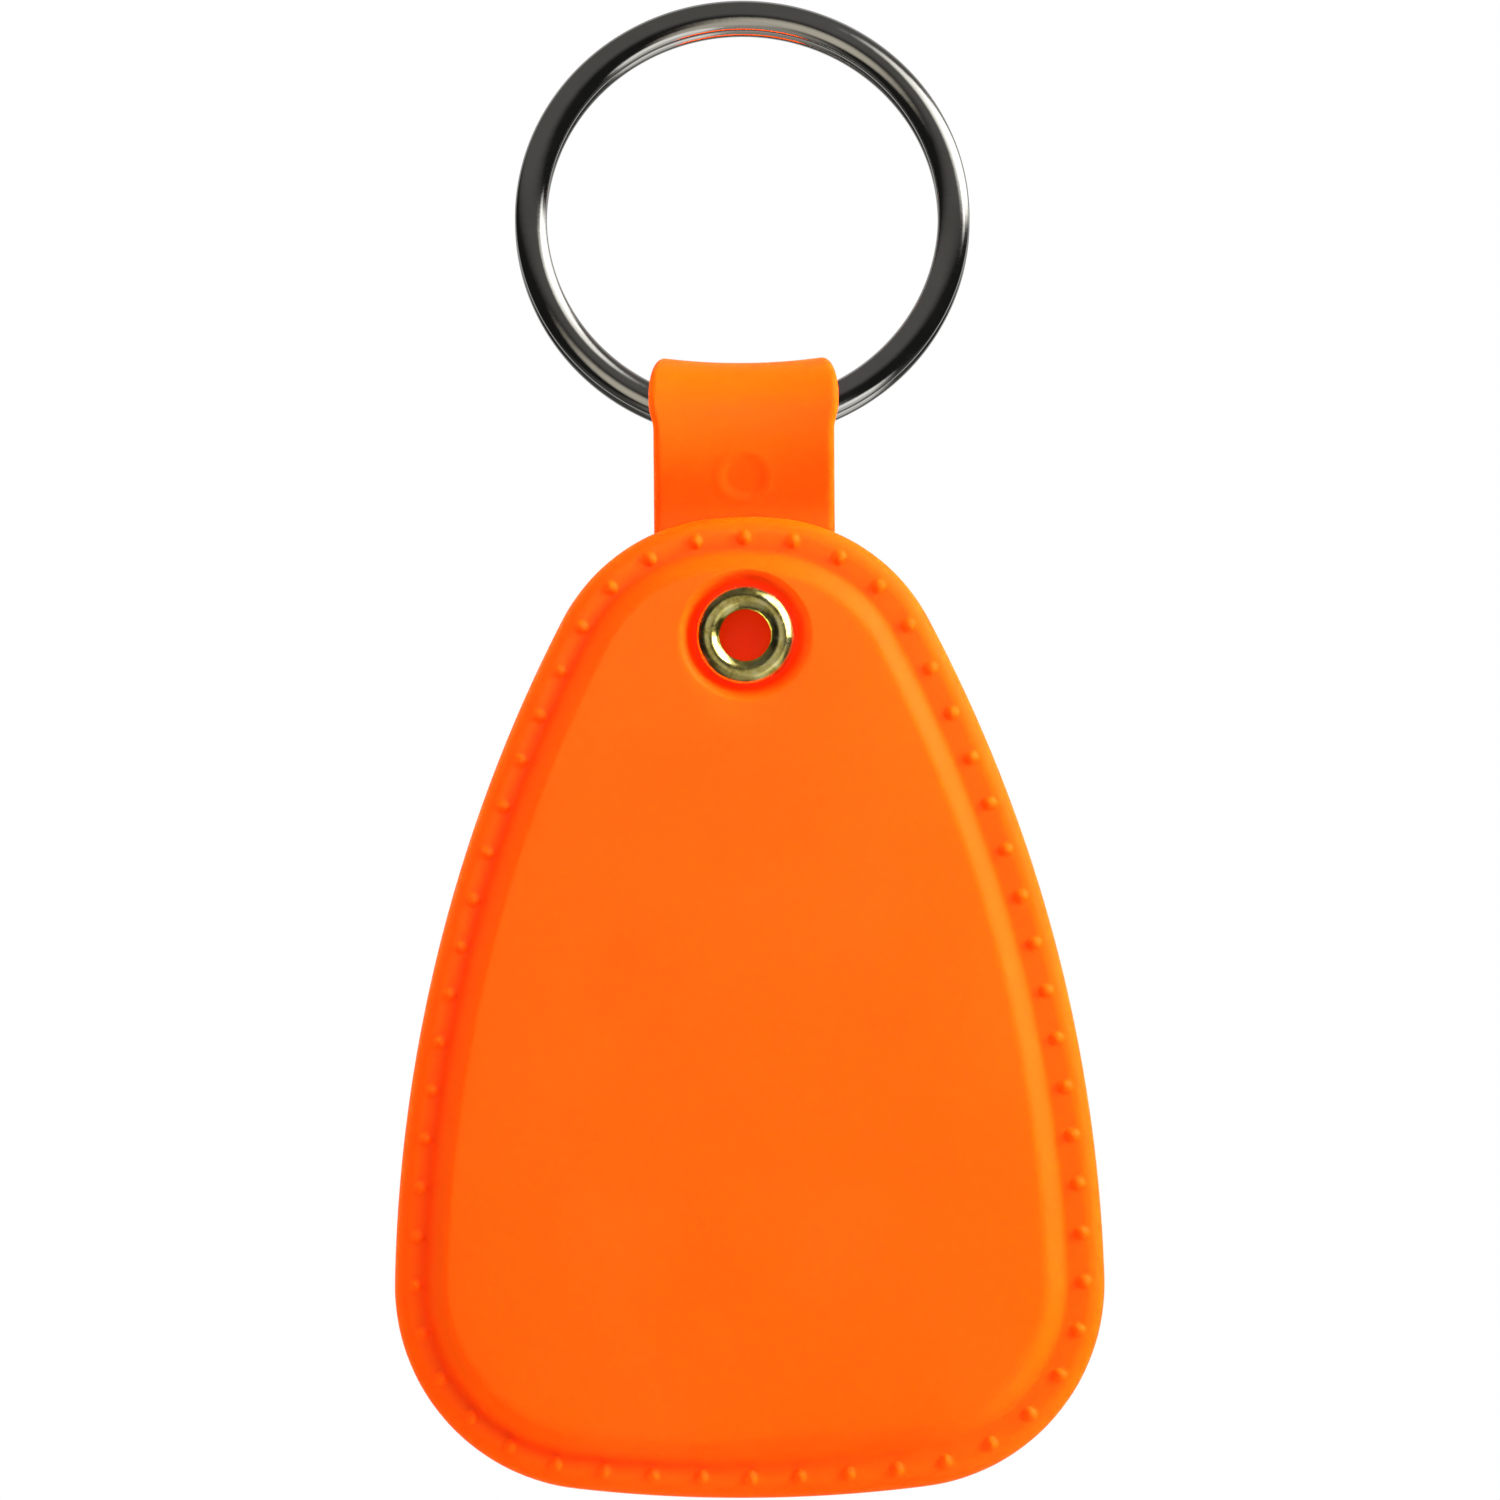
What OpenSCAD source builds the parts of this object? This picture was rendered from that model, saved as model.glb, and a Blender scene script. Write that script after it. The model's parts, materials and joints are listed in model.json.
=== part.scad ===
// Moulded vinyl key fob on a split ring. Millimetres.
// The fob hangs straight down from the ring, and its front faces -Y.
// The origin is the hang point: the middle of the wire at the inside top of the ring.

/* [Split ring] */
// Outside diameter of the ring
ring_od = 25; // [24:0.5:28]
// Width of the wire, across the ring
wire_w = 1.75; // [1.5:0.05:1.8]
// Height of one turn of wire, along the ring's axis
turn_h = 0.95; // [0.8:0.05:1]
// Lean of the ring, with its top away from the viewer
ring_lean = 17; // [0:1:30]

/* [Strap] */
// Width of the strap's legs
strap_w = 9.9; // [9:0.1:10.4]
// Thickness of the strap
strap_t = 0.9; // [0.8:0.05:0.95]
// Radius of the loop's bore at its middle
loop_bore_r = 1.85; // [1.8:0.05:2]
// Width of the loop, over its flared edges
loop_w = 10.5; // [10.4:0.1:11]
// Length of the legs, from the loop's centre
leg_length = 17; // [16.5:0.5:19]

/* [Outline] */
// Distance from the loop's centre down to the top of the panels
apex_drop = 5.7; // [5.2:0.1:7]
// Radius of the arc over the top
top_r = 19.8; // [15:0.1:25]
// Radius of the shoulders
shoulder_r = 10.4; // [9:0.1:12]
// Radius of the long sides
side_r = 82.6; // [70:0.1:95]
// Radius of the lower corners
corner_r = 11.2; // [9:0.1:13]

/* [Panels] */
// Height of the front pillow above the middle plane
front_h = 3.1; // [2.9:0.05:3.4]
// Height of the back pillow above the middle plane
back_h = 2.7; // [2.6:0.05:2.9]
// Height of the rim bead above the middle plane
rim_h = 2.1; // [2:0.05:2.3]
// Thickness of the pillow's skin
skin_t = 0.9; // [0.7:0.05:0.9]
// Stitch bumps down one side, counted from the top middle to the bottom middle
stitch_steps = 27; // [20:1:30]

/* [Eyelet] */
// Distance from the top of the panels down to the eyelet
eyelet_drop = 6.5; // [6.3:0.1:7]
// Radius of the eyelet's hole
eyelet_hole_r = 1.4; // [1.2:0.05:1.5]
// Outside radius of the eyelet's flange
flange_r = 2.7; // [2.5:0.05:2.8]

/* [Hidden] */
$fn = 96;
BEND_FN = 48;
BUMP_FN = 24;

// ring
ring_r = (ring_od - wire_w) / 2;
ring_bore_r = ring_od / 2 - wire_w;
turn_gap = 0.05;
wire_round = 0.35;
crossover_angle = 16;
crossover_lap = 0.08;

// loop: its bore follows the curve of the ring, so it flares towards the strap's edges
flare_r = 33;
loop_outer_r = loop_bore_r + strap_t;
loop_edge_round = 0.5;
loop_wrap = 200;
loop_sink = sqrt(pow(ring_r, 2) - pow(strap_w / 2, 2));
pivot_to_ring = (loop_sink + ring_r) / 2;
pivot_drop = pivot_to_ring + ring_bore_r;

// legs
leg_gap = 0.1;
leg_face = leg_gap / 2 + strap_t;
leg_start = 4.2;
pocket_side = 0.05;

// outline: sweeps of the five arcs from the top middle to the bottom middle, in degrees
LAST_ARC = 4;
sweeps = [5, 57.3, 26.2, 84.6, 6.9];
known_r = [top_r, shoulder_r, side_r, corner_r];
bottom_r = corner_r + arc_centre(3)[0] / sin(turned(4));
radii = concat(known_r, [bottom_r]);
OUTLINE_STEP = 5;

// border, measured inwards from the edge
bead_r = 0.45;
groove_at = 1.35;
groove_half = 0.4;
groove_h = 1.5;
wall_at = 1.85;
fillet_r = 0.9;
wall_lean = 20;
shoulder_drop = 0.15;
crown_at = 4.6;
cavity_at = 3;
stitch_at = 1.1;
stitch_r = 0.38;
stitch_h = 1.62;

// eyelet
barrel_t = 0.35;
barrel_r = eyelet_hole_r + barrel_t;
hole_clear = 0.05;
flange_rise = 0.75;
recess_depth = 1;
recess_r = 3.2;
recess_mouth_r = 3.7;
boss_r = 4.4;
washer_r = 2.8;
washer_t = 0.3;
clinch_r = 2.3;
clinch_h = 0.35;
clinch_pocket_r = 3.1;
eyelet_y = -apex_drop - eyelet_drop;
recess_floor = front_h - recess_depth;

// core pad
pad_clear = 0.1;
notch_w = strap_w + 0.4;
notch_drop = 0.4;

// Colours
vinyl = [1, 0.42, 0.02];
steel = [0.35, 0.35, 0.36];
brass_colour = [0.8, 0.7, 0.35];
board = [0.85, 0.82, 0.75];

// Turns of the outline before arc i, in degrees
function turned(i) = i == 0 ? 0 : turned(i - 1) + sweeps[i - 1];

// Centre of arc i
function arc_centre(i) =
    i == 0 ? [0, -apex_drop - top_r]
    : arc_centre(i - 1) + (radius(i - 1) - radius(i)) * outward(turned(i));

function radius(i) = i < LAST_ARC ? known_r[i] : bottom_r;

// Direction away from an arc's centre, at a turn of h degrees from straight up
function outward(h) = [sin(h), cos(h)];

// Point at a turn of h degrees on arc i, set in from the edge
function edge_point(i, h, inset) = arc_centre(i) + (radii[i] - inset) * outward(h);

// One side of the outline, set in from the edge
function side_points(inset) = [
    for (i = [0:LAST_ARC])
        for (k = [0:ceil(sweeps[i] / OUTLINE_STEP) - 1])
            edge_point(i, turned(i) + k * sweeps[i] / ceil(sweeps[i] / OUTLINE_STEP), inset)
];

// The closed outline, set in from the edge
function outline(inset) =
    let (right = side_points(inset), n = len(right), foot = edge_point(LAST_ARC, 180, inset))
    concat(right, [foot], [for (k = [1:n - 1]) [-right[n - k][0], right[n - k][1]]]);

// Length of arc i, set in from the edge
function arc_length(i, inset) = (radii[i] - inset) * sweeps[i] * PI / 180;
function side_length(inset, i = 0) =
    arc_length(i, inset) + (i < LAST_ARC ? side_length(inset, i + 1) : 0);

// Point at distance s along one side, set in from the edge
function along(s, inset, i = 0) =
    s <= arc_length(i, inset) || i == LAST_ARC
    ? edge_point(i, turned(i) + sweeps[i] * s / arc_length(i, inset), inset)
    : along(s - arc_length(i, inset), inset, i + 1);

// Points of an arc, from angle a to angle b
function bend(c, r, a, b, n) = [for (k = [0:n]) c + r * [cos(a + (b - a) * k / n), sin(a + (b - a) * k / n)]];

// Section through a panel, from the cavity's ceiling round the edge to the top of the pillow:
// distance in from the edge, height above the middle plane
function panel_section(pillow_h) =
    let (
        fillet_c = [wall_at + fillet_r, pillow_h - shoulder_drop - fillet_r],
        groove_c = [groove_at, groove_h + groove_half]
    )
    concat(
        [[cavity_at, pillow_h - skin_t], [cavity_at, 0], [0, 0]],
        bend([bead_r, rim_h - bead_r], bead_r, 180, 30, 5),
        bend(groove_c, groove_half, 210, 330, 4),
        bend(fillet_c, fillet_r, 180 - wall_lean, 90, 4),
        [[crown_at, pillow_h]]
    );

// A moulded half: border, skin and stitch bumps, with its flat side on z = 0
module shell(pillow_h) {
    rings = [for (p = panel_section(pillow_h)) [for (q = outline(p[0])) concat(q, [p[1]])]];
    n = len(rings[0]);
    last = len(rings) - 1;
    polyhedron(
        points = [for (ring = rings) each ring],
        faces = concat(
            [[for (k = [n - 1:-1:0]) k]],
            [
                for (i = [0:last - 1])
                    for (k = [0:n - 1])
                        [i * n + k, i * n + (k + 1) % n, (i + 1) * n + (k + 1) % n, (i + 1) * n + k]
            ],
            [[for (k = [0:n - 1]) last * n + k]]
        )
    );
    pitch = side_length(stitch_at) / stitch_steps;
    for (side = [0, 1])
        mirror([side, 0, 0])
            for (k = [side:stitch_steps - side])
                translate(concat(along(k * pitch, stitch_at), [stitch_h]))
                    sphere(r = stitch_r, $fn = BUMP_FN);
}

// Room for one leg of the strap, cut into a panel's flat side
module strap_pocket() {
    pocket_w = strap_w + 2 * pocket_side;
    translate([-pocket_w / 2, -leg_length - pocket_side, -1])
        cube([pocket_w, leg_length, 1 + leg_face]);
}

// Places a drawing made in the fob's plane (x across, y up, z towards the viewer)
module facing() {
    translate([0, -pivot_drop * sin(ring_lean), -pivot_drop * cos(ring_lean)])
        rotate([90, 0, 0])
            children();
}

module at_eyelet() {
    translate([0, eyelet_y, 0])
        children();
}

module front_panel() {
    color(vinyl)
        facing()
            difference() {
                union() {
                    shell(front_h);
                    at_eyelet()
                        cylinder(r = boss_r, h = front_h - skin_t / 2);
                }
                strap_pocket();
                at_eyelet()
                    rotate_extrude()
                        polygon([
                            [0, recess_floor],
                            [recess_r, recess_floor],
                            [recess_r, front_h - skin_t / 2],
                            [recess_mouth_r, front_h],
                            [recess_mouth_r, front_h + 1],
                            [0, front_h + 1]
                        ]);
                at_eyelet()
                    cylinder(r = barrel_r + hole_clear, h = front_h);
            }
}

module back_panel() {
    color(vinyl)
        facing()
            mirror([0, 0, 1])
                difference() {
                    union() {
                        shell(back_h);
                        at_eyelet()
                            cylinder(r = boss_r, h = back_h - skin_t / 2);
                    }
                    strap_pocket();
                    at_eyelet()
                        cylinder(r = clinch_pocket_r, h = back_h - skin_t);
                }
}

module core_pad() {
    low = pad_clear + skin_t - back_h;
    high = front_h - skin_t - pad_clear;
    color(board)
        facing()
            difference() {
                translate([0, 0, low])
                    linear_extrude(high - low)
                        polygon(outline(cavity_at + pad_clear));
                translate([-notch_w / 2, -leg_length - notch_drop, low - 1])
                    cube([notch_w, leg_length, high - low + 2]);
            }
}

// Places a side view of the strap: x towards the viewer, y up, drawn through its width
module across_view() {
    rotate([0, -90, 0])
        children();
}

// Radius of the loop's surface at a distance x from its middle
function flared(r, x) = r + flare_r - sqrt(pow(flare_r, 2) - pow(x, 2));

// The bent top of the strap, turned about the loop's centre
module loop_bend() {
    half = loop_w / 2;
    edge = half - loop_edge_round;
    steps = 8;
    rotate_extrude(angle = loop_wrap, start = 90 - loop_wrap / 2, $fn = BEND_FN)
        polygon(concat(
            [[0, -half]],
            bend([flared(loop_outer_r, edge) - loop_edge_round, -edge], loop_edge_round, -90, 0, 4),
            [for (k = [-steps + 1:steps - 1]) [flared(loop_outer_r, edge * k / steps), edge * k / steps]],
            bend([flared(loop_outer_r, edge) - loop_edge_round, edge], loop_edge_round, 0, 90, 4),
            [[0, half]]
        ));
}

// The loop's bore, which the ring runs through
module loop_bore() {
    half = loop_w / 2 + 0.1;
    steps = 8;
    rotate_extrude($fn = BEND_FN)
        polygon(concat(
            [[0, -half]],
            [for (k = [-steps:steps]) [flared(loop_bore_r, half * k / steps), half * k / steps]],
            [[0, half]]
        ));
}

// Half of the strap's side view below the loop: the flank and the leg, y away from the middle
function flank_points(r, face) =
    let (
        reach = norm([face, leg_start]),
        tilt = asin(r / reach) - atan(face / leg_start),
        touch = [r * cos(tilt), -r * sin(tilt)]
    )
    [touch, [face, -leg_start]];

module hanger_strap() {
    outer = flank_points(loop_outer_r, leg_face);
    inner = flank_points(loop_bore_r, leg_gap / 2);
    color(vinyl)
        facing()
            difference() {
                union() {
                    strap_side_view(strap_w, outer, leg_length);
                    across_view() {
                        loop_bend();
                        cylinder(r = loop_outer_r, h = strap_w, center = true, $fn = BEND_FN);
                    }
                }
                across_view()
                    loop_bore();
                strap_side_view(loop_w, inner, leg_length + 1);
                at_eyelet()
                    cylinder(r = barrel_r + hole_clear, h = 4, center = true);
            }
}

// Both flanks and legs as one outline, drawn through the strap's width
module strap_side_view(width, half_points, bottom) {
    face = half_points[1][0];
    right = concat([[0, 0]], half_points, [[face, -bottom]]);
    across_view()
        linear_extrude(width, center = true)
            polygon(concat(right, [for (k = [len(right) - 1:-1:1]) [-right[k][0], right[k][1]]]));
}

module eyelet() {
    clinch_top = -leg_face - washer_t;
    color(brass_colour)
        facing()
            at_eyelet()
                rotate_extrude()
                    polygon(concat(
                        [[eyelet_hole_r, clinch_top - clinch_h]],
                        bend([clinch_r - clinch_h, clinch_top], clinch_h, -90, 0, 5),
                        [[barrel_r, clinch_top]],
                        [[barrel_r, recess_floor]],
                        flange_points()
                    ));
}

// The domed flange, from its outer edge over the top to the hole
function flange_points() =
    let (mid = (flange_r + eyelet_hole_r) / 2, half = (flange_r - eyelet_hole_r) / 2, n = 10)
    [
        for (k = [0:n])
            [mid + half * cos(180 * k / n), recess_floor + flange_rise * sin(180 * k / n)]
    ];

module eyelet_washer() {
    color(brass_colour)
        facing()
            at_eyelet()
                translate([0, 0, -leg_face - washer_t])
                    difference() {
                        cylinder(r = washer_r, h = washer_t);
                        translate([0, 0, -1])
                            cylinder(r = barrel_r + hole_clear, h = washer_t + 2);
                    }
}

// One turn of wire between two heights, with rounded edges
module wire_turn(low, start, angle) {
    high = low + turn_h;
    inner = ring_bore_r + wire_round;
    outer = ring_od / 2 - wire_round;
    rotate_extrude(angle = angle, start = start)
        polygon(concat(
            bend([outer, low + wire_round], wire_round, -90, 0, 4),
            bend([outer, high - wire_round], wire_round, 0, 90, 4),
            bend([inner, high - wire_round], wire_round, 90, 180, 4),
            bend([inner, low + wire_round], wire_round, 180, 270, 4)
        ));
}

module split_ring() {
    turn = 360 - crossover_angle;
    start = -90 + crossover_angle / 2;
    half_run = ring_r * sin(crossover_angle / 2) + crossover_lap;
    full_h = 2 * turn_h + turn_gap;
    color(steel)
        rotate([-ring_lean, 0, 0])
            translate([0, 0, -ring_bore_r])
                rotate([90, 0, 0]) {
                    wire_turn(turn_gap / 2, start, turn);
                    wire_turn(-turn_gap / 2 - turn_h, start, turn);
                    // the crossover from the back turn to the front turn, bent to the ring's curve
                    intersection() {
                        difference() {
                            cylinder(r = ring_od / 2 - wire_round / 2, h = full_h, center = true);
                            cylinder(r = ring_bore_r + wire_round / 2, h = full_h + 1, center = true);
                        }
                        rotate([90, 0, 0])
                            linear_extrude(ring_od)
                                polygon([
                                    [-half_run, -full_h / 2],
                                    [-half_run, -turn_gap / 2],
                                    [half_run, full_h / 2],
                                    [half_run, turn_gap / 2]
                                ]);
                    }
                }
}

split_ring();
hanger_strap();
front_panel();
back_panel();
core_pad();
eyelet();
eyelet_washer();
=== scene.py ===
"""Looks for the moulded vinyl key fob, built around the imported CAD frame.

Sizes are in millimetres, except those of the shaders, the lights and the floor, which are in metres. The
fob's pieces are drawn in the fob's own plane (x across, y up, z towards the viewer), with its zero at the
middle of the strap's loop, and place() puts them in the frame.
"""

import json
import math

import bmesh
import bpy
import numpy as np
from mathutils import Matrix, Vector

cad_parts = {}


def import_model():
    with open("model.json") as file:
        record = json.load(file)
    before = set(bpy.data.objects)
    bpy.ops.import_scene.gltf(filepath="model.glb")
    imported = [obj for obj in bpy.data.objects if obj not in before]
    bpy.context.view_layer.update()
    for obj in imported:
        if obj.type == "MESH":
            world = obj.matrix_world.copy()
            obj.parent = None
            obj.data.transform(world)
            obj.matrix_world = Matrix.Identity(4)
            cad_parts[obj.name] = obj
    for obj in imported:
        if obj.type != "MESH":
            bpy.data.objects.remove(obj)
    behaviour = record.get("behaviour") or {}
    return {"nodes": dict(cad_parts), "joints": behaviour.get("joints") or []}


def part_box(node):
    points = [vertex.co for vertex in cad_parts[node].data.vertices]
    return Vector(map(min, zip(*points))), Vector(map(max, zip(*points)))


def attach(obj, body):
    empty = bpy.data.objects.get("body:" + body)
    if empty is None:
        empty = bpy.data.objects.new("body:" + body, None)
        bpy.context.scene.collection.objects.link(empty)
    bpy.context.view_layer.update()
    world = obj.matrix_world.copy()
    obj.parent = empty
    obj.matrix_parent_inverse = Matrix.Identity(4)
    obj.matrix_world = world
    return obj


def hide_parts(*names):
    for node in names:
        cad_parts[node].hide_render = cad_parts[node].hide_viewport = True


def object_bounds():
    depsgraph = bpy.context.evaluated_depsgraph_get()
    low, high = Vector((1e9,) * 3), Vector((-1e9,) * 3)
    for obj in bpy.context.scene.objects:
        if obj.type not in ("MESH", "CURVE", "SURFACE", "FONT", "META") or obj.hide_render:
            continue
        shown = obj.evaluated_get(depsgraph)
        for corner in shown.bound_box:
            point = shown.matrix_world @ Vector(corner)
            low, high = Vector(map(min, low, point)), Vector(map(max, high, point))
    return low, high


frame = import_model()
cad_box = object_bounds()

MM = 0.001
# name of the mesh attribute that holds how much painted shade each point gets; where it is highest it also
# drives a painted glow
PAINTED_SHADE_AND_GLOW = "painted_shade_and_glow"
QUARTER = math.pi / 2
HALVINGS = 40  # steps of a search by halving

# where things are, from the frame
PIVOT = np.array(frame["joints"][0]["pos_m"]) / MM
RING_LOW, RING_HIGH = (np.array(c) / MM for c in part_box("split_ring"))
RING_CENTRE = (RING_LOW + RING_HIGH) / 2
RING_LEAN = math.atan2(-PIVOT[1], -PIVOT[2])
EYELET_LOW, EYELET_HIGH = (np.array(c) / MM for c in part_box("eyelet"))
EYELET_Y = (EYELET_LOW[2] + EYELET_HIGH[2]) / 2 - PIVOT[2]
PANEL_LOW, PANEL_HIGH = (np.array(c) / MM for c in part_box("front_panel"))
BACK_HIGH = np.array(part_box("back_panel")[1]) / MM
FRONT_H = PIVOT[1] - PANEL_LOW[1]
BACK_H = BACK_HIGH[1] - PIVOT[1]
APEX_Y = PANEL_HIGH[2] - PIVOT[2]

# outline of the panels: radii and sweeps of its arcs from the top middle to the bottom middle
ARC_RADII = [19.8, 10.4, 82.6, 11.2]
ARC_SWEEPS = [5, 57.3, 26.2, 84.6, 6.9]

# border: the _AT, _FROM, _TO and _END sizes are measured inwards from the edge
RIM_H = 2.1
BEAD_W = 0.95
BEAD_DROP = 0.85
GROOVE_H = 2.09
GROOVE_AT = 1.45
GROOVE_START = 0.1
SEAM_R = 0.12
STITCH_AT = 1.14
STITCH_STEPS = 27
STITCH_HALF = (0.36, 0.42)
STITCH_RISE = 0.26
STITCH_ROUND = 1.1
WALL_FROM = 1.75
WALL_TO = 3.15
BORDER_END = 2.6

# pillow: its edge is lower than its middle by CROWN, and it sits a little to the left
CROWN = 0.2
CROWN_DECAY = 2.8
PILLOW_SHIFT = 0.2
SHIFT_REACH = 5

# painted shade: a redder, darker tint in the groove, stronger on the left, in the recess and on the
# strap's foot, and a painted glow where it is deepest
GROOVE_PAINTED_SHADE = 0.28
PAINTED_SHADE_AT = 1.68
PAINTED_SHADE_WIDTH = 0.4
PAINTED_SHADE_LEAN = 0.75
PAINTED_SHADE_LEAN_REACH = 8
RECESS_PAINTED_SHADE_R = (2.8, 3.7)
FOOT_PAINTED_SHADE = 0.18
FOOT_PAINTED_SHADE_Y = (-6.0, -4.0)
PAINTED_GLOW = 0.28
PAINTED_GLOW_FROM = 0.55
PAINTED_SHADE_COLOUR = (0.92, 0.009, 0.0003, 1)
PAINTED_GLOW_COLOUR = (1, 0.045, 0, 1)

# recess round the eyelet
RECESS_FLOOR = FRONT_H - 0.8
MOUTH_R = 3.65
MOUTH_START = -0.1
MOUTH_POWER = 1.2
FLOOR_R = 2.8
FLAT_R = 2.5
PANEL_HOLE_R = 1.8
HOLE_CHAMFER = 0.05

# rows of a panel's mesh: first, last and step of those over the border, and how many elsewhere
FINE_ROWS = (BEAD_W + 0.03, 1.66, 0.045)
COARSE_ROWS = (1.7, BORDER_END + 0.01, 0.09)
PILLOW_ROWS = 34
PILLOW_CLOSING = 1.6
RECESS_ROWS = 18

# hidden inside of the panels
SKIN = 0.9
CAVITY_AT = 3.0
BOSS_R = 4.4
BOSS_SHARE = 0.9
POCKET_H = 0.97
POCKET_HALF = 4.97
POCKET_STEP = 0.06
CLINCH_POCKET_R = 3.1
CLINCH_POCKET_H = POCKET_H + 0.66
TIP_R = 0.4

# strap: the _Y sizes are heights in the fob's plane
STRAP_T = 0.9
STRAP_W = 9.92
LOOP_BULGE = 0.5
BULGE_Y = (-0.9, 0.5)
LOOP_PINCH = 0.6
PINCH_Y = 0.8
PINCH_REACH = 1.51
LOOP_R = 2.3
FLARE_R = 33
FLARE_Y = (-5.5, -0.5)
LEG_AT = 0.5
LEG_END = -17.0
FLANK_LENGTH = 7.0
OUTER_ROUND = 0.42
INNER_ROUND = 0.25
DRILL_REACH = 1.5

# round moulding mark on the strap's front leg
MARK_Y = -3.3
MARK_R = 1.2
MARK_SQUASH = 1.08
MARK_DENT = 0.09
MARK_SLOPE = (-0.28, 0.05)
MARK_LIP = 0.03
MARK_LIP_AT = 0.3
MARK_LIP_W = 0.2

# eyelet
HOLE_R = 1.4
FLANGE_R = 2.7
FLANGE_RISE = 0.72
DOME = 0.32
DOME_POWER = 2.2
BARREL_R = 1.75
BORE_DROP = 0.6
CLINCH_R = 0.35
CLINCH_AT = 1.95

# core pad
PAD_INSET = 3.1
PAD_ROUND = 0.45
NOTCH_HALF = 5.15
NOTCH_Y = -17.4
ARM_W = 1.25

# ring
WIRE_HALF_W = 0.875
WIRE_HALF_H = 0.475
TURN_AT = 0.5
CROSSOVER = math.radians(16)
WIRE_TIP = (0.55, 0.82, 0.95)

# camera: width of the view, its aim from the middle of the part, roll in degrees, focal length, sensor
VIEW_W = 82.3
VIEW_SHIFT = (0.22, -0.1)
VIEW_ROLL = 0.4
LENS = 1000.0
SENSOR = 36.0

# floor, in metres
GROUND_R = 0.8
GROUND_GAP = 0.06


def smooth(low, high, value):
    """0 below low, 1 above high, and a smooth step between them."""
    t = np.clip((value - low) / (high - low), 0, 1)
    return t * t * (3 - 2 * t)


def place(points):
    """Points in the fob's plane, in mm, to the frame, in metres."""
    points = np.asarray(points, float)
    return (PIVOT + points[:, [0, 2, 1]] * (1, -1, 1)) * MM


def linked(name, data):
    """A new object in the scene."""
    made = bpy.data.objects.new(name, data)
    bpy.context.scene.collection.objects.link(made)
    return made


def closed_mesh(name, points, faces):
    """A mesh whose faces all point outwards."""
    mesh = bpy.data.meshes.new(name)
    mesh.from_pydata([tuple(p) for p in points], [], faces)
    shape = bmesh.new()
    shape.from_mesh(mesh)
    bmesh.ops.recalc_face_normals(shape, faces=shape.faces)
    shape.to_mesh(mesh)
    shape.free()
    return mesh


def mesh_object(name, points, faces, material, body, slot, nodes, painted_shade_and_glow=None):
    """A closed, smooth-shaded piece that rides on a body and stands for CAD nodes."""
    mesh = closed_mesh(name, points, faces)
    mesh.polygons.foreach_set("use_smooth", [True] * len(mesh.polygons))
    mesh.materials.append(material)
    # painted shade and painted glow amounts, kept as a mesh attribute
    if painted_shade_and_glow is not None:
        mesh.attributes.new(PAINTED_SHADE_AND_GLOW, "FLOAT", "POINT").data.foreach_set("value", painted_shade_and_glow)
    piece = linked(name, mesh)
    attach(piece, body)
    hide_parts(*nodes)
    return piece


def grid_faces(rows, columns, wrap_rows=False):
    """Quads over rows of points, each row a closed loop."""
    faces = []
    for i in range(rows if wrap_rows else rows - 1):
        a = i * columns
        b = (i + 1) % rows * columns
        for k in range(columns):
            n = (k + 1) % columns
            faces.append((a + k, a + n, b + n, b + k))
    return faces


def fan_faces(start, columns, tip):
    """Triangles from one row to a single point."""
    return [(start + k, start + (k + 1) % columns, tip) for k in range(columns)]


def capped_faces(rows, columns):
    """Quads over rows of points, and one flat face at each end."""
    faces = grid_faces(rows, columns)
    faces.append(tuple(range(columns))[::-1])
    faces.append(tuple((rows - 1) * columns + k for k in range(columns)))
    return faces


def quarter_turns(steps, first=0):
    """Angles over a quarter turn, in equal steps, from step number first."""
    return [QUARTER * k / steps for k in range(first, steps + 1)]


# ---------------------------------------------------------------- outline


def arc_table():
    """Each arc of one side as (centre, radius, first turn, last turn)."""
    arcs = []
    turn = 0.0
    centre = np.array([0.0, APEX_Y - ARC_RADII[0]])
    radius = ARC_RADII[0]
    for i, sweep in enumerate(ARC_SWEEPS):
        if i:
            outward = np.array([math.sin(turn), math.cos(turn)])
            new = ARC_RADII[i] if i < len(ARC_RADII) else radius + centre[0] / math.sin(turn)
            centre = centre + (radius - new) * outward
            radius = new
        arcs.append((centre, radius, turn, turn + math.radians(sweep)))
        turn += math.radians(sweep)
    return arcs


ARCS = arc_table()


def side_length(inset):
    """Length of one side of the outline, set in from the edge."""
    return sum((r - inset) * (b - a) for _, r, a, b in ARCS)


def locate(s, inset):
    """Arc and turn at a distance s along one side, set in from the edge."""
    for i, (_, radius, first, last) in enumerate(ARCS):
        length = (radius - inset) * (last - first)
        if s <= length or i == len(ARCS) - 1:
            return i, min(first + s / (radius - inset), last)
        s -= length


def edge_point(i, turn, inset):
    """The point at a turn along one arc, set in from the edge."""
    centre, radius, _, _ = ARCS[i]
    return centre + (radius - inset) * np.array([math.sin(turn), math.cos(turn)])


def inset_of(x, y):
    """Distance in from the outline, for points inside it."""
    x = np.abs(x)
    best = np.full(x.shape, 1e9)
    for centre, radius, first, last in ARCS:
        dx, dy = x - centre[0], y - centre[1]
        turn = np.arctan2(dx, dy)
        near = (turn >= first - 1e-6) & (turn <= last + 1e-6)
        best = np.where(near, np.minimum(best, radius - np.hypot(dx, dy)), best)
    return best


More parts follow.
